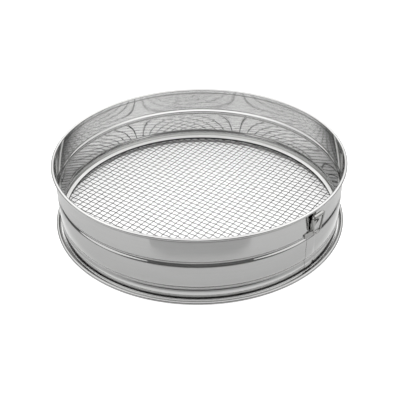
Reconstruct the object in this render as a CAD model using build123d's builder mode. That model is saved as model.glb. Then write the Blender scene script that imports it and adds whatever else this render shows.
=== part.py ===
from build123d import *
from math import atan2, cos, degrees, floor, radians, sin, sqrt
import os

# Drum sieve of thin stainless sheet: a beaded drum with a wired top rim, a woven
# wire mesh held in a folded hem, a pressed-in foot ring with a wired edge, and a
# hanging ring that swings in a strap on the drum's seam.
# Millimetres, +Z up, origin on the table under the centre of the drum.

# Driving sizes of the drum
rim_outer_radius = 150.0
drum_height = 72.0
sheet = 0.6
rim_wire_radius = 0.9
roll_clearance = 0.1

# Pressed beads in the drum wall, heights of their two edges and their depth
bead_depth = 2.4
mid_bead_low = 39.0
mid_bead_high = 47.0
low_bead_low = 10.9
low_bead_high = 18.6
drum_bottom = 3.0

# Foot ring: skirt inside the drum, flange outside it, rolled round a wire
foot_reach = 3.0
foot_wire_radius = 0.95
skirt_fit = 0.1
roll_sides = 6
roll_wire_sides = 4
foot_seam_gap = 0.5

# Woven mesh: two layers of straight round wires and the hem that holds their ends
mesh_height = 7.3
mesh_wire_radius = 0.4
mesh_wire_sides = 6
warp_pitch = 7.16
weft_pitch = 5.58
warp_angle = 56.0
weft_angle = -37.0
hem_sheet = 0.5
hem_grip = 0.05
hem_width = 3.9
hem_rise = 2.0
wire_end_gap = 0.6

# Side seam: angles clockwise from the back, as seen from above
seam_edge_angle = 138.4
seam_inner_angle = 134.3
seam_step = 0.3

# Hanger strap: sideways places are to the right, as seen from outside
hanger_angle = 136.4
strap_sheet = 1.0
strap_gap = 1.2
strap_joggle = 0.7
strap_left = 3.4
strap_right = 7.9
strap_neck_width = 4.0
strap_bend = 1.2
eye_rim_gap = 0.325
eye_clearance = 0.08
eye_wrap_angle = 285.0
neck_length = 4.0
joggle_rise = 3.0
riser_length = 7.3
standoff_rise = 1.8
taper_drop = 8.4
taper_rise = 5.5
pad_margin = 1.6
pad_height = 5.6
pad_left = 10.2
pad_right = 3.0
pad_corner = 2.6
wall_contact = 0.05

# Hanging ring: a rounded loop of wire whose straight top bar lies in the eye
ring_wire_radius = 1.0
ring_wire_sides = 6
ring_side_gap = 1.75
ring_slide = 1.1
ring_drop = 20.0
ring_tip_half_width = 3.9
ring_corner_bend = 1.3
ring_tip_bend = 4.2

overrun = 1.0

# Places worked out from the sizes above
rim_roll_radius = rim_wire_radius + roll_clearance + sheet
foot_roll_radius = foot_wire_radius + roll_clearance + sheet
wall_outer_radius = rim_outer_radius - 2 * rim_roll_radius + sheet
wall_middle_radius = wall_outer_radius - sheet / 2
wall_inner_radius = wall_outer_radius - sheet
roll_corner = 1 / cos(radians(180 / roll_sides))
rim_roll_centre = rim_outer_radius - rim_roll_radius
rim_roll_height = drum_height - rim_roll_radius * roll_corner
foot_outer_radius = rim_outer_radius + foot_reach
foot_roll_centre = foot_outer_radius - foot_roll_radius * roll_corner
skirt_middle_radius = wall_inner_radius - skirt_fit - sheet / 2
hem_outer_radius = wall_inner_radius - skirt_fit
hem_bottom = mesh_height - 2 * mesh_wire_radius - hem_grip - hem_sheet
hem_top = mesh_height + 2 * mesh_wire_radius + hem_grip + hem_sheet
wire_end_radius = hem_outer_radius - hem_sheet - wire_end_gap


def round_trip(angle):
    """Direction, as (x, y), at an angle clockwise from the back."""
    return sin(radians(angle)), cos(radians(angle))


def wall_plane(angle, radius):
    """Upright plane that faces outward, its X to the right as seen from outside."""
    x, y = round_trip(angle)
    return Plane(origin=(radius * x, radius * y, 0), x_dir=(-y, x, 0), z_dir=(x, y, 0))


def side_plane(angle, radius):
    """Upright plane seen from the right: its X points outward and its Y up."""
    x, y = round_trip(angle)
    return Plane(origin=(radius * x, radius * y, 0), x_dir=(x, y, 0), z_dir=(y, -x, 0))


def bead_points(radius, low, high):
    """Corners of a bead pressed inward from a wall radius, with a sharp crest."""
    return [(radius, low), (radius - bead_depth, (low + high) / 2), (radius, high)]


def mesh_wires(pitch, angle, height):
    """Centre, length and direction of each parallel wire that ends inside the hem."""
    last = floor(wire_end_radius / pitch)
    wires = []
    for number in range(-last, last + 1):
        away = number * pitch
        length = 2 * sqrt(wire_end_radius**2 - away**2)
        along = Vector(cos(radians(angle)), sin(radians(angle)), 0)
        across = Vector(-along.Y, along.X, 0)
        wires.append((across * away + Vector(0, 0, height), length, along))
    return wires


def square_end(line, position, thickness):
    """Cut the rounded end off a sheet drawn by its middle line, square to that line."""
    outward = (line % position) * (2 * position - 1)
    with Locations(line @ position):
        Rectangle(
            2 * thickness / 3,
            4 * thickness / 3,
            rotation=degrees(atan2(outward.Y, outward.X)),
            align=(Align.MIN, Align.CENTER),
            mode=Mode.SUBTRACT,
        )


def roll_points(radius, height, size, start, turn):
    """Corners of a flat-sided rolled edge, from the side that touches at the start angle."""
    reach = size * roll_corner
    angles = [radians(start + turn * 180 * number / roll_sides) for number in range(1, 2 * roll_sides - 1, 2)]
    return [(radius + reach * cos(angle), height + reach * sin(angle)) for angle in angles]


def wall_line(radius, end_points):
    """Middle line of the beaded wall sheet, from its lower edge through its end points."""
    return Polyline(
        (radius, drum_bottom),
        *bead_points(radius, low_bead_low, low_bead_high),
        *bead_points(radius, mid_bead_low, mid_bead_high),
        *end_points,
    )


# Drum shell, with the lap of its side seam standing slightly proud
with BuildPart() as drum_shell:
    with BuildSketch(Plane.XZ):
        with BuildLine():
            rolled = roll_points(rim_roll_centre, rim_roll_height, rim_roll_radius - sheet / 2, 180, -1)
            wall = wall_line(wall_middle_radius, rolled)
            offset(amount=sheet / 2, kind=Kind.TANGENT)
        make_face()
        square_end(wall, 0, sheet)
        square_end(wall, 1, sheet)
    revolve(axis=Axis.Z)
    with BuildSketch(side_plane(seam_edge_angle, 0)):
        with BuildLine():
            lap_top = rim_roll_height - rim_roll_radius - sheet / 2
            lap = wall_line(wall_middle_radius + seam_step, [(wall_middle_radius + seam_step, lap_top)])
            offset(amount=sheet / 2, kind=Kind.TANGENT)
        make_face()
        square_end(lap, 0, sheet)
        square_end(lap, 1, sheet)
    revolve(axis=Axis.Z, revolution_arc=seam_edge_angle - seam_inner_angle)
drum_shell.part.label = "drum_shell"

# Wire inside the rolled top rim
with BuildPart() as rim_wire:
    with BuildSketch(Plane.XZ):
        with Locations((rim_roll_centre, rim_roll_height)):
            RegularPolygon(rim_wire_radius, roll_wire_sides)
    revolve(axis=Axis.Z)
rim_wire.part.label = "rim_wire"

# Foot ring
with BuildPart() as foot_ring:
    with BuildSketch(Plane.XZ):
        with BuildLine():
            skirt = Polyline(
                (skirt_middle_radius, hem_bottom),
                (skirt_middle_radius, sheet / 2),
                *roll_points(foot_roll_centre, foot_roll_radius, foot_roll_radius - sheet / 2, -90, 1),
            )
            offset(amount=sheet / 2, kind=Kind.TANGENT)
        make_face()
        square_end(skirt, 0, sheet)
        square_end(skirt, 1, sheet)
    revolve(axis=Axis.Z)
    with BuildSketch(wall_plane(seam_edge_angle, wall_inner_radius)):
        with Locations((0, foot_roll_radius)):
            Rectangle(foot_seam_gap, 2 * foot_roll_radius + 2 * overrun)
    extrude(amount=foot_outer_radius - wall_inner_radius + overrun, mode=Mode.SUBTRACT)
foot_ring.part.label = "foot_ring"

# Wire inside the rolled edge of the foot
with BuildPart() as foot_wire:
    with BuildSketch(Plane.XZ):
        with Locations((foot_roll_centre, foot_roll_radius)):
            RegularPolygon(foot_wire_radius, roll_wire_sides)
    revolve(axis=Axis.Z)
foot_wire.part.label = "foot_wire"

# Folded hem round the mesh
with BuildPart() as mesh_hem:
    hem_inner = hem_outer_radius - hem_width
    hem_web = hem_outer_radius - hem_sheet / 2
    with BuildSketch(Plane.XZ):
        with BuildLine():
            hem = Polyline(
                (hem_inner, hem_bottom + hem_sheet / 2),
                (hem_web, hem_bottom + hem_sheet / 2),
                (hem_web, hem_top + hem_rise - hem_sheet / 2),
                (hem_inner, hem_top - hem_sheet / 2),
            )
            offset(amount=hem_sheet / 2, kind=Kind.TANGENT)
        make_face()
        square_end(hem, 0, hem_sheet)
        square_end(hem, 1, hem_sheet)
    revolve(axis=Axis.Z)
mesh_hem.part.label = "mesh_hem"

# Mesh wires, the warp below and the weft lying on it
with BuildPart() as mesh_warp:
    for centre, length, along in mesh_wires(warp_pitch, warp_angle, mesh_height - mesh_wire_radius):
        with BuildSketch(Plane(origin=centre - along * (length / 2), z_dir=along)):
            RegularPolygon(mesh_wire_radius, mesh_wire_sides)
        extrude(amount=length)
mesh_warp.part.label = "mesh_warp"

with BuildPart() as mesh_weft:
    for centre, length, along in mesh_wires(weft_pitch, weft_angle, mesh_height + mesh_wire_radius):
        with BuildSketch(Plane(origin=centre - along * (length / 2), z_dir=along)):
            RegularPolygon(mesh_wire_radius, mesh_wire_sides)
        extrude(amount=length)
mesh_weft.part.label = "mesh_weft"

# Hanger strap: its side profile, cut to its front outline
eye_bore_radius = ring_wire_radius + eye_clearance
eye_bend = eye_bore_radius + strap_sheet / 2
pad_middle = seam_step + wall_contact + strap_sheet / 2
riser_middle = strap_gap + strap_sheet / 2
neck_middle = riser_middle + strap_joggle
eye_centre = neck_middle + eye_bend
eye_height = rim_roll_height - rim_roll_radius * roll_corner - eye_rim_gap - eye_bend - strap_sheet / 2
joggle_high = eye_height - neck_length
joggle_low = joggle_high - joggle_rise
standoff_high = joggle_low - riser_length
standoff_low = standoff_high - standoff_rise
pad_high = standoff_low - pad_margin
pad_low = pad_high - pad_height
pad_centre = (pad_low + pad_high) / 2
taper_high = eye_height - taper_drop
taper_low = taper_high - taper_rise
with BuildPart() as hanger_strap:
    with BuildSketch(side_plane(hanger_angle, wall_outer_radius)):
        with BuildLine():
            profile = FilletPolyline(
                (pad_middle, pad_low - overrun),
                (pad_middle, standoff_low),
                (riser_middle, standoff_high),
                (riser_middle, joggle_low),
                (neck_middle, joggle_high),
                (neck_middle, eye_height),
                radius=strap_bend,
            )
            eye = CenterArc((eye_centre, eye_height), eye_bend, 180, -eye_wrap_angle)
            offset(amount=strap_sheet / 2)
        make_face()
        square_end(profile, 0, strap_sheet)
        square_end(eye, 1, strap_sheet)
    extrude(amount=pad_left + pad_right, both=True)
    with BuildSketch(wall_plane(hanger_angle, wall_inner_radius)):
        with BuildLine():
            Polyline(
                (-strap_left, eye_height + 2 * eye_bend),
                (-strap_left, pad_centre),
                (strap_neck_width - strap_left, pad_centre),
                (strap_neck_width - strap_left, taper_low),
                (strap_right, taper_high),
                (strap_right, eye_height + 2 * eye_bend),
                close=True,
            )
        make_face()
        with Locations(((pad_right - pad_left) / 2, pad_centre)):
            RectangleRounded(pad_left + pad_right, pad_high - pad_low, pad_corner)
    extrude(amount=2 * (eye_centre + eye_bend), mode=Mode.INTERSECT)
hanger_strap.part.label = "hanger_strap"

# Hanging ring, slid to the right in the eye
ring_centre = (strap_right - strap_left) / 2 + ring_slide
ring_half_width = (strap_right + strap_left) / 2 + ring_side_gap + ring_wire_radius
with BuildPart() as hanging_ring:
    with BuildLine(wall_plane(hanger_angle, wall_outer_radius + eye_centre)) as ring_path:
        FilletPolyline(
            (ring_centre, eye_height),
            (ring_centre + ring_half_width, eye_height),
            (ring_centre + ring_tip_half_width, eye_height - ring_drop),
            (ring_centre - ring_tip_half_width, eye_height - ring_drop),
            (ring_centre - ring_half_width, eye_height),
            close=True,
            radius=(0, ring_corner_bend, ring_tip_bend, ring_tip_bend, ring_corner_bend),
        )
    with BuildSketch(Plane(origin=ring_path.line @ 0, z_dir=ring_path.line % 0)):
        RegularPolygon(ring_wire_radius, ring_wire_sides)
    sweep(path=ring_path.line)
hanging_ring.part.label = "hanging_ring"

os.makedirs("parts", exist_ok=True)
export_step(drum_shell.part, "parts/drum_shell.step")
export_step(rim_wire.part, "parts/rim_wire.step")
export_step(foot_ring.part, "parts/foot_ring.step")
export_step(foot_wire.part, "parts/foot_wire.step")
export_step(mesh_hem.part, "parts/mesh_hem.step")
export_step(mesh_warp.part, "parts/mesh_warp.step")
export_step(mesh_weft.part, "parts/mesh_weft.step")
export_step(hanger_strap.part, "parts/hanger_strap.step")
export_step(hanging_ring.part, "parts/hanging_ring.step")
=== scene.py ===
import math
import random

import bpy
from mathutils import Matrix, Vector


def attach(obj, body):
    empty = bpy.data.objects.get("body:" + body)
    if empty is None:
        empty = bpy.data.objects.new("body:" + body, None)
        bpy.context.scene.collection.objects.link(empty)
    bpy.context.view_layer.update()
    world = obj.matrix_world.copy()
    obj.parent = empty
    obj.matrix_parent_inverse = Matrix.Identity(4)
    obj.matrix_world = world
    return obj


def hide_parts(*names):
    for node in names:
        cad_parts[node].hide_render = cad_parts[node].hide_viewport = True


# Looks of a stainless drum sieve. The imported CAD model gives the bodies, and each
# sheet and wire is drawn again here with its round bends and its weave.
# Lengths are in millimetres, which MM turns into metres, and angles in degrees, unless
# a comment says otherwise.
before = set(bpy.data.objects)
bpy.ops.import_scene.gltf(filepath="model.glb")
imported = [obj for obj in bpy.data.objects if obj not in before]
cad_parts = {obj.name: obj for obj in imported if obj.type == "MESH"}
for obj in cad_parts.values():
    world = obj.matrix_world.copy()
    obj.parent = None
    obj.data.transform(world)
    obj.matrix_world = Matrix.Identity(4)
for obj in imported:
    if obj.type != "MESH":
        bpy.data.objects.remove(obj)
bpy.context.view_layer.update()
MM = 0.001

# Drum: a sheet with two pressed beads and a rolled rim
DRUM_HEIGHT = 72.0
DRUM_BOTTOM = 3.0
SHEET = 0.6
RIM_RADIUS = 150.0
RIM_ROLL_RADIUS = 1.6
RIM_WRAP = 300.0
RIM_FLARE = 24.0
RIM_BEND = 1.0
WALL_OUTER = RIM_RADIUS - 2 * RIM_ROLL_RADIUS + SHEET
WALL_MIDDLE = WALL_OUTER - SHEET / 2
WALL_INNER = WALL_OUTER - SHEET
MID_BEAD = (38.7, 46.7)
MID_DEPTH = 1.75
LOW_BEAD = (10.8, 18.4)
LOW_DEPTH = 1.0
BEAD_STEPS = 24

# Side seam, where the sheet laps: its angles, clockwise from the back as seen from above.
# The sheet rises to the lap over SEAM_RISE and steps down at its edge over SEAM_CUT, and
# the even segments start again past SEAM_MARGIN.
SEAM_EDGE = 138.4
SEAM_INNER = 134.3
SEAM_STEP = 0.3
SEAM_TOP = DRUM_HEIGHT - 3 * RIM_ROLL_RADIUS
SEAM_RISE = 1.0
SEAM_CUT = 0.01
SEAM_MARGIN = 0.5

# Hem: a folded strip round the edge of the mesh
HEM_SHEET = 0.5
HEM_FIT = 0.1
HEM_OUTER = WALL_INNER - HEM_FIT
HEM_WIDTH = 3.9
HEM_BOTTOM = 5.95
HEM_TOP = 8.65
HEM_RISE = 2.0
HEM_BENDS = (0.8, 0.5)

# Mesh: the radius of its wires, their two directions, and how far each swings up and
# down in the weave. Each wire lies a little off its place, by no more than the jitter.
MESH_HEIGHT = 7.3
MESH_WIRE = 0.35
MESH_WIRE_SIDES = 8
WARP_PITCH = 7.16
WEFT_PITCH = 5.58
WARP_ANGLE = 56.0
WEFT_ANGLE = -37.0
WARP_CRIMP = 0.14
WEFT_CRIMP = 0.35
WIRE_JITTER = 0.12
WIRE_END_GAP = 0.6
WIRE_END = HEM_OUTER - HEM_SHEET - WIRE_END_GAP
STEPS_PER_CROSSING = 6
FEWEST_STEPS = 8

# Foot ring: a skirt inside the drum, a flange, and a rolled edge outside
FOOT_RADIUS = 153.0
FOOT_ROLL_RADIUS = 1.65
FOOT_WRAP = 290.0
FOOT_CORNER_BEND = 0.9
SKIRT_FIT = 0.1
SKIRT_MIDDLE = WALL_INNER - SKIRT_FIT - SHEET / 2
SKIRT_TOP_GAP = 0.05
SKIRT_TOP = HEM_BOTTOM - SKIRT_TOP_GAP

# Strap: a pad on the wall, a riser that stands off it, and a neck with a rolled eye.
# Pairs are from a lower to an upper height, and "out" is outward from the wall.
HANGER_ANGLE = 136.4
STRAP_SHEET = 1.0
STRAP_GAP = 1.2
STRAP_JOGGLE = 0.7
STRAP_LEFT = 3.4
STRAP_RIGHT = 7.9
STRAP_NARROW = 4.0
STRAP_BEND = 1.2
STRAP_STEP = 0.3
STRAP_COLUMNS = 12
PAD = (42.6, 48.2)
PAD_FIT = 0.05
PAD_LEFT = 10.2
PAD_RIGHT = 3.0
PAD_CORNER = 2.6
STANDOFF = (49.8, 51.6)
TAPER = (52.0, 57.5)
JOGGLE = (58.9, 61.9)
EYE_HEIGHT = 65.9
EYE_BEND = 1.58
EYE_WRAP = 285.0
PAD_OUT = SEAM_STEP + PAD_FIT + STRAP_SHEET / 2
RISER_OUT = STRAP_GAP + STRAP_SHEET / 2
NECK_OUT = RISER_OUT + STRAP_JOGGLE
EYE_OUT = NECK_OUT + EYE_BEND

# Hanging ring: a loop of wire that tapers towards its tip
RING_WIRE = 1.0
RING_SIDES = 20
RING_CENTRE = 3.35
RING_HALF_WIDTH = 8.4
RING_TIP_HALF_WIDTH = 3.9
RING_DROP = 20.0
RING_CORNER_BEND = 1.3
RING_TIP_BEND = 4.2

# Fineness of the shapes: segments of a full turn, the angle of a step in a bend, how near
# the ends of a long stretch a point is added, and the least cosine that widens a corner
TURN_SEGMENTS = 360
ARC_STEP = 8.0
FIRM_END = 0.15
MITRE_COSINE = 0.5

# Steel: its colours, the stretch of its streaks, the part of their noise that changes the
# gloss, how far they change the colour, and the turn that lays its grain round the drum
BRIGHT_COLOUR = (0.58, 0.58, 0.575)
SATIN_COLOUR = (0.75, 0.75, 0.74)
WIRE_COLOUR = (0.06, 0.06, 0.058)
TRIM_COLOUR = (0.4, 0.4, 0.39)
STREAK_STRETCH = (30, 30, 900)
STREAK_DETAIL = 4.0
STREAK_BAND = (0.3, 0.7)
STREAK_TINT = (0.94, 1.05)
WAVE_DETAIL = 1.0
GRAIN_TURN = 0.25

# Painted shade and highlight in the steel, as shares of its colour: a painted shadow line
# this far below the rim's top, a painted highlight on the rim above it, a painted shadow in
# the gap between the wall and the foot's roll (from one radius to another), painted shade
# on the roll outside it, and painted shadow grey inside the hem's fold. Their soft edges
# have a width each.
RIM_SHADOW_DEPTH = 4.6
RIM_SHADOW_EDGE = 0.5
RIM_SHADOW_SHARE = 0.65
RIM_HIGHLIGHT_SHARE = 1.03
FOOT_GAP = (148.4, 149.9)
FOOT_GAP_EDGE = 0.3
FOOT_GAP_SHADOW_SHARE = 0.3
FOOT_ROLL_SHADE_SHARE = 0.75
FOLD_EDGE = HEM_SHEET / 5
FOLD_SHADOW_GREY = 0.03

# Soft box overhead: place and size in metres, and its brightness, where 1 is white
SOFT_BOX = (-0.1, 0.5, 1.2)
SOFT_BOX_SIZE = (1.8, 1.4)
SOFT_BOX_LIGHT = 0.1

# Studio round the object, by the sine of the height: pale at the sides, brightest
# half way up, and a little less so overhead
SIDE_LIGHT = 1.15
HIGH_LIGHT = 1.7
TOP_LIGHT = 1.2
HIGH_RISE = (0.45, 0.56)
HIGH_FALL = (0.8, 0.92)

# Dark card all round, hidden from the camera: tall in front, with rounded shoulders, then
# sloping down to a low horizon at the sides and a higher one behind. Its turns are from
# the front.
CARD_AWAY = 600.0
CARD_GREY = 0.12
CARD_ROUGHNESS = 0.8
CARD_STEPS = 40
CARD_HALF_TURN = 34.4
CARD_HEIGHT = 317.0
CARD_SHOULDER = 24.0
CARD_SHOULDER_POWER = 7
CARD_WING_TURN = 80.0
CARD_WING_HEIGHT = 245.0
CARD_HORIZON = 90.0
CARD_BACK_TURN = 120.0
CARD_BACK_HORIZON = 170.0

# Floor: its reach and colour, and its gloss as the steel shows it
FLOOR_REACH = 4000.0
FLOOR_GREY = 0.54
FLOOR_ROUGHNESS = 0.5
FLOOR_GLOSS = 0.18
GLOSS_ROUGHNESS = 0.01
# Its glow to the camera: outside the drum, under the mesh, and lower in a ring by the hem as a
# painted shadow
FLOOR_GLOW = 0.75
MESH_FLOOR_GLOW = 0.63
PAINTED_SHADOW_GLOW = 0.5
SHADOW_START = 137.0
SHADOW_FADE = 1.5
# Its glow in the steel, as painted pools of light: under the mesh, ending between two
# distances inside the wall, and in a narrow ring beside the foot
PAINTED_POOL_UNDER_MESH = 0.75
STEEL_MESH_FADE = (40.0, 5.0)
PAINTED_POOL_BY_FOOT = 0.35
STEEL_FOOT_FADE = 14.0

# Camera, fitted to the photograph: its place in rim radii, and its angles in radians
CAMERA_DISTANCE = 3.998
CAMERA_HEIGHT = 2.7917
CAMERA_PITCH = 0.59746
CAMERA_YAW = 0.000644
CAMERA_ROLL = -0.013649
FOCAL_PIXELS = 673.26
IMAGE_PIXELS = 400
SENSOR = 36.0


def direction(angle):
    """(x, y) of an angle clockwise from the back."""
    return math.sin(math.radians(angle)), math.cos(math.radians(angle))


def bent(points, bends, closed=False):
    """A polyline whose inner corners are rounded by the given bend radii."""
    count = len(points)
    corners = range(count) if closed else range(1, count - 1)
    bends = dict(zip(corners, bends))
    out = []
    for i, point in enumerate(points):
        here = Vector(point)
        bend = bends.get(i, 0)
        if not bend:
            out.append(here)
            continue
        back = (Vector(points[i - 1]) - here).normalized()
        ahead = (Vector(points[(i + 1) % count]) - here).normalized()
        half = back.angle(ahead) / 2
        reach = bend / math.tan(half)
        middle = (back + ahead).normalized()
        centre = here + middle * (bend / math.sin(half))
        turn = math.pi - 2 * half
        steps = max(2, math.ceil(math.degrees(turn) / ARC_STEP))
        start = here + back * reach - centre
        end = ahead * reach + here - centre
        for step in range(steps + 1):
            share = step / steps
            a = math.sin((1 - share) * turn) / math.sin(turn)
            b = math.sin(share * turn) / math.sin(turn)
            out.append(centre + start * a + end * b)
    return out


def arc(centre, radius, start, turn):
    """Points on an arc, from a start angle through a signed turn in degrees."""
    steps = max(2, math.ceil(abs(turn) / ARC_STEP))
    points = []
    for i in range(steps + 1):
        angle = math.radians(start + turn * i / steps)
        across, up = radius * math.cos(angle), radius * math.sin(angle)
        points.append(Vector((centre[0] + across, centre[1] + up)))
    return points


def firm(line):
    """Adds points near the ends of long straight stretches, so that they shade flat."""
    out = [line[0]]
    for a, b in zip(line, line[1:]):
        length = (b - a).length
        if length > 5 * FIRM_END:
            out += [a + (b - a) * (FIRM_END / length), b - (b - a) * (FIRM_END / length)]
        out.append(b)
    return out


def thick(line, thickness):
    """Closed outline of a sheet drawn by its middle line."""
    line = firm(line)
    left, right = [], []
    for i, point in enumerate(line):
        before = (point - line[i - 1]).normalized() if i else (line[1] - point).normalized()
        after = (line[i + 1] - point).normalized() if i < len(line) - 1 else before
        along = (before + after).normalized()
        reach = thickness / 2 / max(MITRE_COSINE, along.dot(before))
        across = Vector((-along.y, along.x)) * reach
        left.append(point + across)
        right.append(point - across)
    return left + right[::-1]


def mesh_object(name, points, faces, sharp=40.0):
    """A smooth-shaded object from points in millimetres."""
    mesh = bpy.data.meshes.new(name)
    mesh.from_pydata([(x * MM, y * MM, z * MM) for x, y, z in points], [], faces)
    mesh.validate()
    mesh.shade_smooth()
    mesh.set_sharp_from_angle(angle=math.radians(sharp))
    piece = bpy.data.objects.new(name, mesh)
    bpy.context.scene.collection.objects.link(piece)
    return piece


def even_angles():
    """Angles of the segments of a full turn."""
    return [360 * i / TURN_SEGMENTS for i in range(TURN_SEGMENTS)]


def lathe(name, outline, angles, shift=None):
    """Turns a closed outline of (radius, height) round the drum's axis."""
    points = []
    for angle in angles:
        x, y = direction(angle)
        for radius, height in outline:
            radius += shift(angle, height) if shift else 0
            points.append((radius * x, radius * y, height))
    rows = len(outline)
    faces = []
    for i in range(len(angles)):
        a, b = i * rows, (i + 1) % len(angles) * rows
        for j in range(rows):
            k = (j + 1) % rows
            faces.append((a + j, a + k, b + k, b + j))
    return mesh_object(name, points, faces)


def tube_rings(path, radius, sides, closed, up):
    """Rings of points round a path, kept level with an up direction."""
    rings = []
    count = len(path)
    for i, point in enumerate(path):
        back = path[i - 1] if i or closed else point
        ahead = path[(i + 1) % count] if i < count - 1 or closed else point
        along = (ahead - back).normalized()
        side = along.cross(up).normalized()
        top = side.cross(along)
        for k in range(sides):
            turn = 2 * math.pi * k / sides
            rings.append(point + (side * math.cos(turn) + top * math.sin(turn)) * radius)
    return rings


def tubes(name, paths, radius, sides, closed=False, up=Vector((0, 0, 1))):
    """One object of round wires along paths."""
    points, faces = [], []
    for path in paths:
        first = len(points)
        points += tube_rings(path, radius, sides, closed, up)
        for i in range(len(path) if closed else len(path) - 1):
            a = first + i * sides
            b = first + (i + 1) % len(path) * sides
            for k in range(sides):
                m = (k + 1) % sides
                faces.append((a + k, a + m, b + m, b + k))
        if not closed:
            faces.append(tuple(range(first, first + sides)))
            faces.append(tuple(range(len(points) - 1, len(points) - sides - 1, -1)))
    return mesh_object(name, points, faces)


def maths(tree, operation, *values):
    """A math node of sockets and numbers."""
    node = tree.nodes.new("ShaderNodeMath")
    node.operation = operation
    for i, value in enumerate(values):
        if isinstance(value, (int, float)):
            node.inputs[i].default_value = value
        else:
            tree.links.new(value, node.inputs[i])
    return node.outputs[0]


def ramp(tree, value, span, start, end, smooth=True):
    """A step of a value over a span, from start to end, with rounded ends if smooth."""
    step = tree.nodes.new("ShaderNodeMapRange")
    if smooth:
        step.interpolation_type = "SMOOTHSTEP"
    step.inputs["From Min"].default_value = span[0]
    step.inputs["From Max"].default_value = span[1]
    step.inputs["To Min"].default_value = start
    step.inputs["To Max"].default_value = end
    tree.links.new(value, step.inputs["Value"])
    return step.outputs["Result"]


def height_of(tree, space="Object"):
    """The height of a point, or the sine of a direction's height in the world."""
    place = tree.nodes.new("ShaderNodeTexCoord")
    split = tree.nodes.new("ShaderNodeSeparateXYZ")
    tree.links.new(place.outputs[space], split.inputs["Vector"])
    return split.outputs["Z"]


def radius_of(tree):
    """The distance of a point from the drum's axis."""
    place = tree.nodes.new("ShaderNodeTexCoord")
    flat = tree.nodes.new("ShaderNodeVectorMath")
    flat.operation = "MULTIPLY"
    flat.inputs[1].default_value = (1, 1, 0)
    tree.links.new(place.outputs["Object"], flat.inputs[0])
    away = tree.nodes.new("ShaderNodeVectorMath")
    away.operation = "LENGTH"
    tree.links.new(flat.outputs["Vector"], away.inputs[0])
    return away.outputs["Value"]


def noise(tree, vector, scale, detail):
    """Noise over a vector, as a socket."""
    node = tree.nodes.new("ShaderNodeTexNoise")
    node.inputs["Scale"].default_value = scale
    node.inputs["Detail"].default_value = detail
    tree.links.new(vector, node.inputs["Vector"])
    return node.outputs["Fac"]


def steel(name, colour, roughness, streaks, waves, wave_size=0.03, grain=0.0):
    """Stainless steel: rolling streaks in its gloss, gentle waves, and a grain round the drum.

    The waves' height and size are in metres."""
    material = bpy.data.materials.new(name)
    material.use_nodes = True
    tree = material.node_tree
    shader = tree.nodes["Principled BSDF"]
    shader.inputs["Metallic"].default_value = 1.0
    if grain:
        around = tree.nodes.new("ShaderNodeTangent")
        around.direction_type = "RADIAL"
        around.axis = "Z"
        tree.links.new(around.outputs["Tangent"], shader.inputs["Tangent"])
        shader.inputs["Anisotropic"].default_value = grain
        shader.inputs["Anisotropic Rotation"].default_value = GRAIN_TURN
    place = tree.nodes.new("ShaderNodeTexCoord")
    stretch = tree.nodes.new("ShaderNodeMapping")
    stretch.inputs["Scale"].default_value = STREAK_STRETCH
    tree.links.new(place.outputs["Object"], stretch.inputs["Vector"])
    streak = noise(tree, stretch.outputs["Vector"], 1.0, STREAK_DETAIL)
    least, most = roughness * (1 - streaks), roughness * (1 + streaks)
    gloss = ramp(tree, streak, STREAK_BAND, least, most, smooth=False)
    tree.links.new(gloss, shader.inputs["Roughness"])
    tint = tree.nodes.new("ShaderNodeMix")
    tint.data_type = "RGBA"
    for socket, share in zip("AB", STREAK_TINT):
        tint.inputs[socket].default_value = (*(min(1, c * share) for c in colour), 1)
    tree.links.new(streak, tint.inputs["Factor"])
    tree.links.new(tint.outputs["Result"], shader.inputs["Base Color"])
    bump = tree.nodes.new("ShaderNodeBump")
    bump.inputs["Strength"].default_value = 1.0
    bump.inputs["Distance"].default_value = waves
    wave = noise(tree, place.outputs["Object"], 1 / wave_size, WAVE_DETAIL)
    tree.links.new(wave, bump.inputs["Height"])
    tree.links.new(bump.outputs["Normal"], shader.inputs["Normal"])
    return material


def scale_colour(material, share):
    """Multiplies the steel's colour."""
    tree = material.node_tree
    shader = tree.nodes["Principled BSDF"]
    shade = tree.nodes.new("ShaderNodeVectorMath")
    shade.operation = "SCALE"
    tree.links.new(shader.inputs["Base Color"].links[0].from_socket, shade.inputs[0])
    tree.links.new(share, shade.inputs["Scale"])
    tree.links.new(shade.outputs["Vector"], shader.inputs["Base Color"])


def paint_rim_shadow_and_highlight(material):
    """Paints a slight highlight on the rim, above a painted shadow line where the sheet turns
    out.
    """
    tree = material.node_tree
    height = height_of(tree)
    line, step = (DRUM_HEIGHT - RIM_SHADOW_DEPTH) * MM, RIM_SHADOW_EDGE * MM
    below = ramp(tree, height, (line - 2 * step, line - step), 1.0, RIM_SHADOW_SHARE)
    above = ramp(tree, height, (line + step, line + 2 * step), RIM_SHADOW_SHARE, RIM_HIGHLIGHT_SHARE)
    scale_colour(material, maths(tree, "MAXIMUM", below, above))


def paint_foot_gap_shadow(material):
    """Paints shadow in the gap between the wall and the foot's roll, and painted shade on the
    roll.
    """
    tree = material.node_tree
    away = radius_of(tree)
    start, end, step = FOOT_GAP[0] * MM, FOOT_GAP[1] * MM, FOOT_GAP_EDGE * MM
    inside = ramp(tree, away, (start - step, start), 1.0, FOOT_GAP_SHADOW_SHARE)
    outside = ramp(tree, away, (end, end + step), FOOT_GAP_SHADOW_SHARE, FOOT_ROLL_SHADE_SHARE)
    scale_colour(material, maths(tree, "MAXIMUM", inside, outside))


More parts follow.
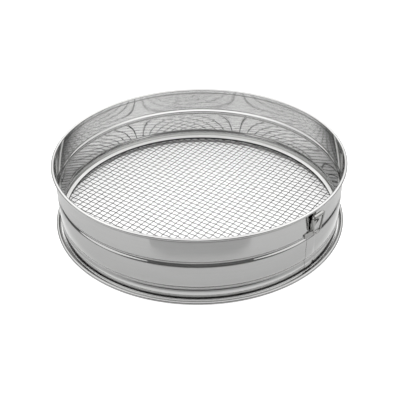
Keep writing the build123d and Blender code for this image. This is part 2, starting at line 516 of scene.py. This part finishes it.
def paint_fold_shadow(material):
    """Paints shadow on the inside of the hem's fold, by the height in the sheet."""
    tree = material.node_tree
    shader = tree.nodes["Principled BSDF"]
    colour = shader.inputs["Base Color"].links[0].from_socket
    height = height_of(tree)
    low, high = (HEM_BOTTOM + HEM_SHEET) * MM, (HEM_TOP - HEM_SHEET) * MM
    step = FOLD_EDGE * MM
    under = ramp(tree, height, (low - step, low), 1.0, 0.0)
    over = ramp(tree, height, (high, high + step), 0.0, 1.0)
    shade = tree.nodes.new("ShaderNodeMix")
    shade.data_type = "RGBA"
    shade.inputs["A"].default_value = (FOLD_SHADOW_GREY, FOLD_SHADOW_GREY, FOLD_SHADOW_GREY, 1)
    tree.links.new(maths(tree, "MAXIMUM", under, over), shade.inputs["Factor"])
    tree.links.new(colour, shade.inputs["B"])
    tree.links.new(shade.outputs["Result"], shader.inputs["Base Color"])


def finish_piece(piece, body, node, material):
    """Gives a piece its material and body, and hides the CAD node that it replaces."""
    piece.data.materials.append(material)
    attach(piece, body)
    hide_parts(node)


def wall_line():
    """Middle line of the drum sheet, with its two pressed beads and rolled rim."""
    line = [Vector((WALL_MIDDLE, DRUM_BOTTOM))]
    for (low, high), deep in ((LOW_BEAD, LOW_DEPTH), (MID_BEAD, MID_DEPTH)):
        for i in range(BEAD_STEPS + 1):
            share = i / BEAD_STEPS
            depth = deep * math.sin(math.pi * share) ** 2
            line.append(Vector((WALL_MIDDLE - depth, low + (high - low) * share)))
    centre = (RIM_RADIUS - RIM_ROLL_RADIUS, DRUM_HEIGHT - RIM_ROLL_RADIUS)
    size = RIM_ROLL_RADIUS - SHEET / 2
    roll = arc(centre, size, 180 - RIM_FLARE, RIM_FLARE - RIM_WRAP)
    below = (roll[0].x - WALL_MIDDLE) / math.tan(math.radians(RIM_FLARE))
    points = [line[-1], Vector((WALL_MIDDLE, roll[0].y - below)), roll[0]]
    return line[:-1] + bent(points, [RIM_BEND]) + roll[1:]


def seam_shift(angle, height):
    """How far the sheet stands proud at the lap."""
    if height > SEAM_TOP or not SEAM_INNER - SEAM_RISE < angle <= SEAM_EDGE:
        return 0
    return SEAM_STEP * min(1, (angle - SEAM_INNER + SEAM_RISE) / SEAM_RISE)


def seam_angles():
    """Angles of a full turn, with those at the seam set by the lap."""
    start, end = SEAM_INNER - SEAM_RISE, SEAM_EDGE + SEAM_MARGIN
    clear = [angle for angle in even_angles() if not start < angle < end]
    rise = [start, SEAM_INNER - SEAM_RISE / 2]
    lap = [SEAM_INNER + i for i in range(4)]
    return sorted(clear + rise + lap + [SEAM_EDGE, SEAM_EDGE + SEAM_CUT, end])


def drum_shell(material):
    """The drum's sheet."""
    piece = lathe("drum_sheet", thick(wall_line(), SHEET), seam_angles(), seam_shift)
    finish_piece(piece, "drum", "drum_shell", material)


def foot_ring(material):
    """The foot's sheet."""
    centre = (FOOT_RADIUS - FOOT_ROLL_RADIUS, FOOT_ROLL_RADIUS)
    points = [(SKIRT_MIDDLE, SKIRT_TOP), (SKIRT_MIDDLE, SHEET / 2), (centre[0], SHEET / 2)]
    roll = arc(centre, FOOT_ROLL_RADIUS - SHEET / 2, -90, FOOT_WRAP)
    line = bent(points, [FOOT_CORNER_BEND]) + roll[1:]
    piece = lathe("foot_sheet", thick(line, SHEET), even_angles())
    finish_piece(piece, "drum", "foot_ring", material)


def mesh_hem(material):
    """The strip folded round the edge of the mesh."""
    inner = HEM_OUTER - HEM_WIDTH + HEM_SHEET / 2
    web = HEM_OUTER - HEM_SHEET / 2
    points = [
        (inner, HEM_BOTTOM + HEM_SHEET / 2),
        (web, HEM_BOTTOM + HEM_SHEET / 2),
        (web, HEM_TOP + HEM_RISE - HEM_SHEET / 2),
        (inner, HEM_TOP - HEM_SHEET / 2),
    ]
    outline = thick(bent(points, HEM_BENDS), HEM_SHEET)
    piece = lathe("hem_strip", outline, even_angles())
    finish_piece(piece, "drum", "mesh_hem", material)


def woven_wires(name, node, direct, other, crimp, material):
    """Parallel wires that pass over and under the wires of the other direction.

    Each direction is given by its pitch and its angle."""
    pitch, angle = direct
    other_pitch, other_angle = other
    along = Vector((math.cos(math.radians(angle)), math.sin(math.radians(angle)), 0))
    across = Vector((-along.y, along.x, 0))
    turned = math.radians(other_angle)
    other_across = Vector((-math.sin(turned), math.cos(turned), 0))
    chance = random.Random(pitch)
    last = math.floor(WIRE_END / pitch)
    paths = []
    for number in range(-last, last + 1):
        away = number * pitch
        reach = math.sqrt(WIRE_END**2 - away**2)
        steps = max(FEWEST_STEPS, round(2 * reach / other_pitch * STEPS_PER_CROSSING))
        drift = chance.uniform(-WIRE_JITTER, WIRE_JITTER)
        path = []
        for i in range(steps + 1):
            flat = across * away + along * (reach * (2 * i / steps - 1))
            crossing = flat.dot(other_across) / other_pitch
            lift = crimp * math.cos(math.pi * (crossing + number))
            path.append(flat + across * drift + Vector((0, 0, MESH_HEIGHT + lift)))
        paths.append(path)
    piece = tubes(name, paths, MESH_WIRE, MESH_WIRE_SIDES)
    finish_piece(piece, "drum", node, material)


def on_wall(sideways, outward, height):
    """A point by the hanger: sideways to the right, outward from the wall, and up."""
    x, y = direction(HANGER_ANGLE)
    radius = WALL_OUTER + outward
    return Vector((radius * x - sideways * y, radius * y + sideways * x, height))


def strap_line():
    """Middle line of the strap, as (outward, height), and where its eye begins."""
    points = [
        (PAD_OUT, PAD[0]),
        (PAD_OUT, STANDOFF[0]),
        (RISER_OUT, STANDOFF[1]),
        (RISER_OUT, JOGGLE[0]),
        (NECK_OUT, JOGGLE[1]),
        (NECK_OUT, EYE_HEIGHT),
    ]
    flat = bent(points, [STRAP_BEND] * 4)
    fine = []
    for a, b in zip(flat, flat[1:]):
        steps = max(1, math.ceil((b - a).length / STRAP_STEP))
        fine += [a + (b - a) * (i / steps) for i in range(steps)]
    return fine + arc((EYE_OUT, EYE_HEIGHT), EYE_BEND, 180, -EYE_WRAP), len(fine)


def strap_edges(height, rolled):
    """Left and right edge of the strap: at a height below the eye, or at the eye."""
    left, right = -STRAP_LEFT, STRAP_RIGHT
    if rolled:
        return left, right
    if height < TAPER[1]:
        share = max(0, (height - TAPER[0]) / (TAPER[1] - TAPER[0]))
        right = left + STRAP_NARROW + (STRAP_LEFT + STRAP_RIGHT - STRAP_NARROW) * share
    if height < PAD[1]:
        corner = min(height - PAD[0], PAD[1] - height, PAD_CORNER)
        inset = PAD_CORNER - math.sqrt(max(0, PAD_CORNER**2 - (PAD_CORNER - corner) ** 2))
        pad_left, pad_right = -PAD_LEFT + inset, PAD_RIGHT - inset
        if height > (PAD[0] + PAD[1]) / 2:
            return min(left, pad_left), max(right, pad_right)
        return pad_left, pad_right
    return left, right


def slab_faces(rows, columns):
    """Faces of a slab: two grids of points, one behind the other, and its four edges."""
    row = columns + 1
    sheet = rows * row
    faces = []
    for i in range(rows - 1):
        for k in range(columns):
            a = i * row + k
            faces.append((a, a + 1, a + row + 1, a + row))
            faces.append((sheet + a, sheet + a + row, sheet + a + row + 1, sheet + a + 1))
        for k in (0, columns):
            a = i * row + k
            quad = (a, a + row, sheet + a + row, sheet + a)
            faces.append(quad if k == 0 else quad[::-1])
    for i in (0, rows - 1):
        for k in range(columns):
            a = i * row + k
            quad = (a, sheet + a, sheet + a + 1, a + 1)
            faces.append(quad if i == 0 else quad[::-1])
    return faces


def hanger_strap(material):
    """The strap, which hugs the round wall below its eye."""
    line, rolled_from = strap_line()
    outline = thick(line, STRAP_SHEET)
    rows = len(line)
    points = []
    for side in (outline[:rows], outline[rows:][::-1]):
        for i, (outward, height) in enumerate(side):
            left, right = strap_edges(line[i].y, i >= rolled_from)
            for k in range(STRAP_COLUMNS + 1):
                sideways = left + (right - left) * k / STRAP_COLUMNS
                hug = sideways**2 / (2 * WALL_OUTER) if i < rolled_from else 0
                points.append(on_wall(sideways, outward - hug, height))
    piece = mesh_object("hanger_strip", points, slab_faces(rows, STRAP_COLUMNS))
    finish_piece(piece, "drum", "hanger_strap", material)


def hanging_ring(material):
    """The loop of wire, hanging at rest with its straight side in the eye."""
    corners = [
        (0, EYE_HEIGHT),
        (RING_HALF_WIDTH, EYE_HEIGHT),
        (RING_TIP_HALF_WIDTH, EYE_HEIGHT - RING_DROP),
        (-RING_TIP_HALF_WIDTH, EYE_HEIGHT - RING_DROP),
        (-RING_HALF_WIDTH, EYE_HEIGHT),
    ]
    bends = [0, RING_CORNER_BEND, RING_TIP_BEND, RING_TIP_BEND, RING_CORNER_BEND]
    loop = bent(corners, bends, closed=True)
    path = [on_wall(RING_CENTRE + x, EYE_OUT, z) for x, z in loop]
    outward = Vector((*direction(HANGER_ANGLE), 0))
    piece = tubes("ring_wire", [path], RING_WIRE, RING_SIDES, closed=True, up=outward)
    finish_piece(piece, "hanging_ring", "hanging_ring", material)


def floor_material():
    """White to the camera, but for the sieve's shadow and a painted shadow by the hem; the
    steel shows it with some gloss and painted pools of light.
    """
    material = bpy.data.materials.new("pale_floor")
    material.use_nodes = True
    tree = material.node_tree
    base = tree.nodes["Principled BSDF"]
    base.inputs["Base Color"].default_value = (FLOOR_GREY, FLOOR_GREY, FLOOR_GREY, 1)
    base.inputs["Roughness"].default_value = FLOOR_ROUGHNESS
    ray = tree.nodes.new("ShaderNodeLightPath")
    seen, reflected = ray.outputs["Is Camera Ray"], ray.outputs["Is Glossy Ray"]
    gloss = tree.nodes.new("ShaderNodeBsdfGlossy")
    gloss.inputs["Roughness"].default_value = GLOSS_ROUGHNESS
    coated = tree.nodes.new("ShaderNodeMixShader")
    tree.links.new(maths(tree, "MULTIPLY", reflected, FLOOR_GLOSS), coated.inputs["Fac"])
    tree.links.new(base.outputs["BSDF"], coated.inputs[1])
    tree.links.new(gloss.outputs["BSDF"], coated.inputs[2])
    away = radius_of(tree)
    foot = (WALL_OUTER * MM, FOOT_RADIUS * MM)

    # Painted pools of light that only the steel shows: under the mesh and in a ring beside the
    # foot
    fade = [(WALL_INNER - inset) * MM for inset in STEEL_MESH_FADE]
    pool = ramp(tree, away, fade, PAINTED_POOL_UNDER_MESH, 0.0)
    start = ramp(tree, away, foot, 0.0, PAINTED_POOL_BY_FOOT)
    fade = (FOOT_RADIUS * MM, (FOOT_RADIUS + STEEL_FOOT_FADE) * MM)
    ring = maths(tree, "MULTIPLY", start, ramp(tree, away, fade, 1.0, 0.0))
    to_steel = maths(tree, "MULTIPLY", reflected, maths(tree, "MAXIMUM", pool, ring))

    # A lower glow to the camera in a ring by the hem: a painted shadow
    fade = (SHADOW_START * MM, (SHADOW_START + SHADOW_FADE) * MM)
    inside = ramp(tree, away, fade, MESH_FLOOR_GLOW, PAINTED_SHADOW_GLOW)
    outside = ramp(tree, away, foot, 0.0, FLOOR_GLOW)
    to_camera = maths(tree, "MAXIMUM", inside, outside)

    glow = tree.nodes.new("ShaderNodeEmission")
    strength = maths(tree, "MULTIPLY_ADD", seen, to_camera, to_steel)
    tree.links.new(strength, glow.inputs["Strength"])
    total = tree.nodes.new("ShaderNodeAddShader")
    tree.links.new(coated.outputs[0], total.inputs[0])
    tree.links.new(glow.outputs[0], total.inputs[1])
    tree.links.new(total.outputs[0], tree.nodes["Material Output"].inputs["Surface"])
    return material


def room():
    """White to the camera; the steel shows a pale room, brightest half way up."""
    world = bpy.data.worlds.new("studio")
    bpy.context.scene.world = world
    world.use_nodes = True
    tree = world.node_tree
    background = tree.nodes["Background"]
    background.inputs["Color"].default_value = (1, 1, 1, 1)
    height = height_of(tree, "Generated")
    rise = ramp(tree, height, HIGH_RISE, SIDE_LIGHT, HIGH_LIGHT)
    fall = ramp(tree, height, HIGH_FALL, 0.0, HIGH_LIGHT - TOP_LIGHT)
    light = maths(tree, "SUBTRACT", rise, fall)
    ray = tree.nodes.new("ShaderNodeLightPath")
    strength = maths(tree, "MAXIMUM", light, ray.outputs["Is Camera Ray"])
    tree.links.new(strength, background.inputs["Strength"])


def card_front(turn):
    """Top of the card in front, by the turn from the front."""
    return CARD_HEIGHT - CARD_SHOULDER * (turn / CARD_HALF_TURN) ** CARD_SHOULDER_POWER


def card_wing(turn):
    """Top of the card beside and behind the drum, by the turn from the front."""
    share = (turn - CARD_HALF_TURN) / (CARD_WING_TURN - CARD_HALF_TURN)
    behind = (turn - CARD_WING_TURN) / (CARD_BACK_TURN - CARD_WING_TURN)
    higher = (CARD_BACK_HORIZON - CARD_HORIZON) * min(1, max(0, behind))
    return max(CARD_HORIZON + higher, CARD_WING_HEIGHT * (1 - share))


def dark_card():
    """A dark card round the drum, hidden from the camera."""
    steps = range(CARD_STEPS + 1)
    left = [-180 + i * (180 - CARD_HALF_TURN) / CARD_STEPS for i in steps]
    front = [CARD_HALF_TURN * (2 * i / CARD_STEPS - 1) for i in steps]
    right = [-turn for turn in left[::-1]]
    edge = []
    for turns, top in ((left, card_wing), (front, card_front), (right, card_wing)):
        edge += [(turn, top(abs(turn))) for turn in turns]
    points = []
    for turn, height in edge:
        x, y = direction(180 - turn)
        points += [(CARD_AWAY * x, CARD_AWAY * y, z) for z in (0, height)]
    faces = [(i, i + 1, i + 3, i + 2) for i in range(0, 2 * len(edge) - 2, 2)]
    card = mesh_object("card", points, faces)
    material = bpy.data.materials.new("dark_card")
    material.use_nodes = True
    shader = material.node_tree.nodes["Principled BSDF"]
    shader.inputs["Base Color"].default_value = (CARD_GREY, CARD_GREY, CARD_GREY, 1)
    shader.inputs["Roughness"].default_value = CARD_ROUGHNESS
    card.data.materials.append(material)
    card.visible_camera = False


def studio():
    """Floor, room, card and soft box."""
    corners = [(-1, -1), (1, -1), (1, 1), (-1, 1)]
    points = [(x * FLOOR_REACH, y * FLOOR_REACH, 0) for x, y in corners]
    floor = mesh_object("floor", points, [(0, 1, 2, 3)])
    floor.data.materials.append(floor_material())
    room()
    dark_card()
    light = bpy.data.lights.new("soft_box", "AREA")
    light.shape = "RECTANGLE"
    light.size, light.size_y = SOFT_BOX_SIZE
    light.energy = SOFT_BOX_LIGHT * math.pi * light.size * light.size_y
    lamp = bpy.data.objects.new("soft_box", light)
    lamp.location = SOFT_BOX
    lamp.visible_glossy = False
    lamp.rotation_euler = (-Vector(SOFT_BOX)).to_track_quat("-Z", "Y").to_euler()
    bpy.context.scene.collection.objects.link(lamp)


def camera():
    """The photograph's camera."""
    ahead = Vector((
        math.sin(CAMERA_YAW) * math.cos(CAMERA_PITCH),
        math.cos(CAMERA_YAW) * math.cos(CAMERA_PITCH),
        -math.sin(CAMERA_PITCH),
    ))
    level = Vector((math.cos(CAMERA_YAW), -math.sin(CAMERA_YAW), 0))
    upright = level.cross(ahead)
    right = level * math.cos(CAMERA_ROLL) + upright * math.sin(CAMERA_ROLL)
    up = upright * math.cos(CAMERA_ROLL) - level * math.sin(CAMERA_ROLL)
    data = bpy.data.cameras.new("camera")
    data.sensor_width = SENSOR
    data.lens = FOCAL_PIXELS / IMAGE_PIXELS * SENSOR
    view = bpy.data.objects.new("camera", data)
    place = Vector((0, -CAMERA_DISTANCE, CAMERA_HEIGHT)) * RIM_RADIUS * MM
    turned = Matrix((right, up, -ahead)).transposed().to_4x4()
    view.matrix_world = Matrix.Translation(place) @ turned
    bpy.context.scene.collection.objects.link(view)
    bpy.context.scene.camera = view


# The drum and the foot are of one bright sheet, the foot's a little less smooth. The drum's
# material carries a painted rim highlight and shadow line, the foot's a painted shadow in
# its gap and painted shade on its roll
bright = steel(
    "bright_stainless", BRIGHT_COLOUR, roughness=0.062, streaks=0.3, waves=2e-5, grain=0.9
)
# Painted highlight on the rim, over a painted shadow line below it
paint_rim_shadow_and_highlight(bright)
foot = steel(
    "foot_stainless", BRIGHT_COLOUR, roughness=0.075, streaks=0.3, waves=2e-5, grain=0.9
)
# Painted shadow in the gap beside the foot's roll, and painted shade on the roll
paint_foot_gap_shadow(foot)
satin = steel("satin_strip", SATIN_COLOUR, roughness=0.45, streaks=0.2, waves=2e-5)
# Painted shadow inside the hem's fold
paint_fold_shadow(satin)
wire = steel(
    "drawn_wire", WIRE_COLOUR, roughness=0.35, streaks=0.3, waves=1e-5, wave_size=0.004
)
trim = steel(
    "bright_trim", TRIM_COLOUR, roughness=0.08, streaks=0.3, waves=2e-5, wave_size=0.01
)
camera()
studio()
drum_shell(bright)
foot_ring(foot)
mesh_hem(satin)
# Where a warp wire goes up at a crossing, the weft wire goes down, hence the minus sign
warp, weft = (WARP_PITCH, WARP_ANGLE), (WEFT_PITCH, WEFT_ANGLE)
woven_wires("warp_wires", "mesh_warp", warp, weft, WARP_CRIMP, wire)
woven_wires("weft_wires", "mesh_weft", weft, warp, -WEFT_CRIMP, wire)
hanger_strap(trim)
hanging_ring(trim)
# The wires in the rolled edges are hidden, and keep their CAD shape
for node in ("rim_wire", "foot_wire"):
    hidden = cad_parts[node]
    hidden.data.materials.clear()
    hidden.data.materials.append(wire)

bpy.context.scene.view_settings.view_transform = "Standard"
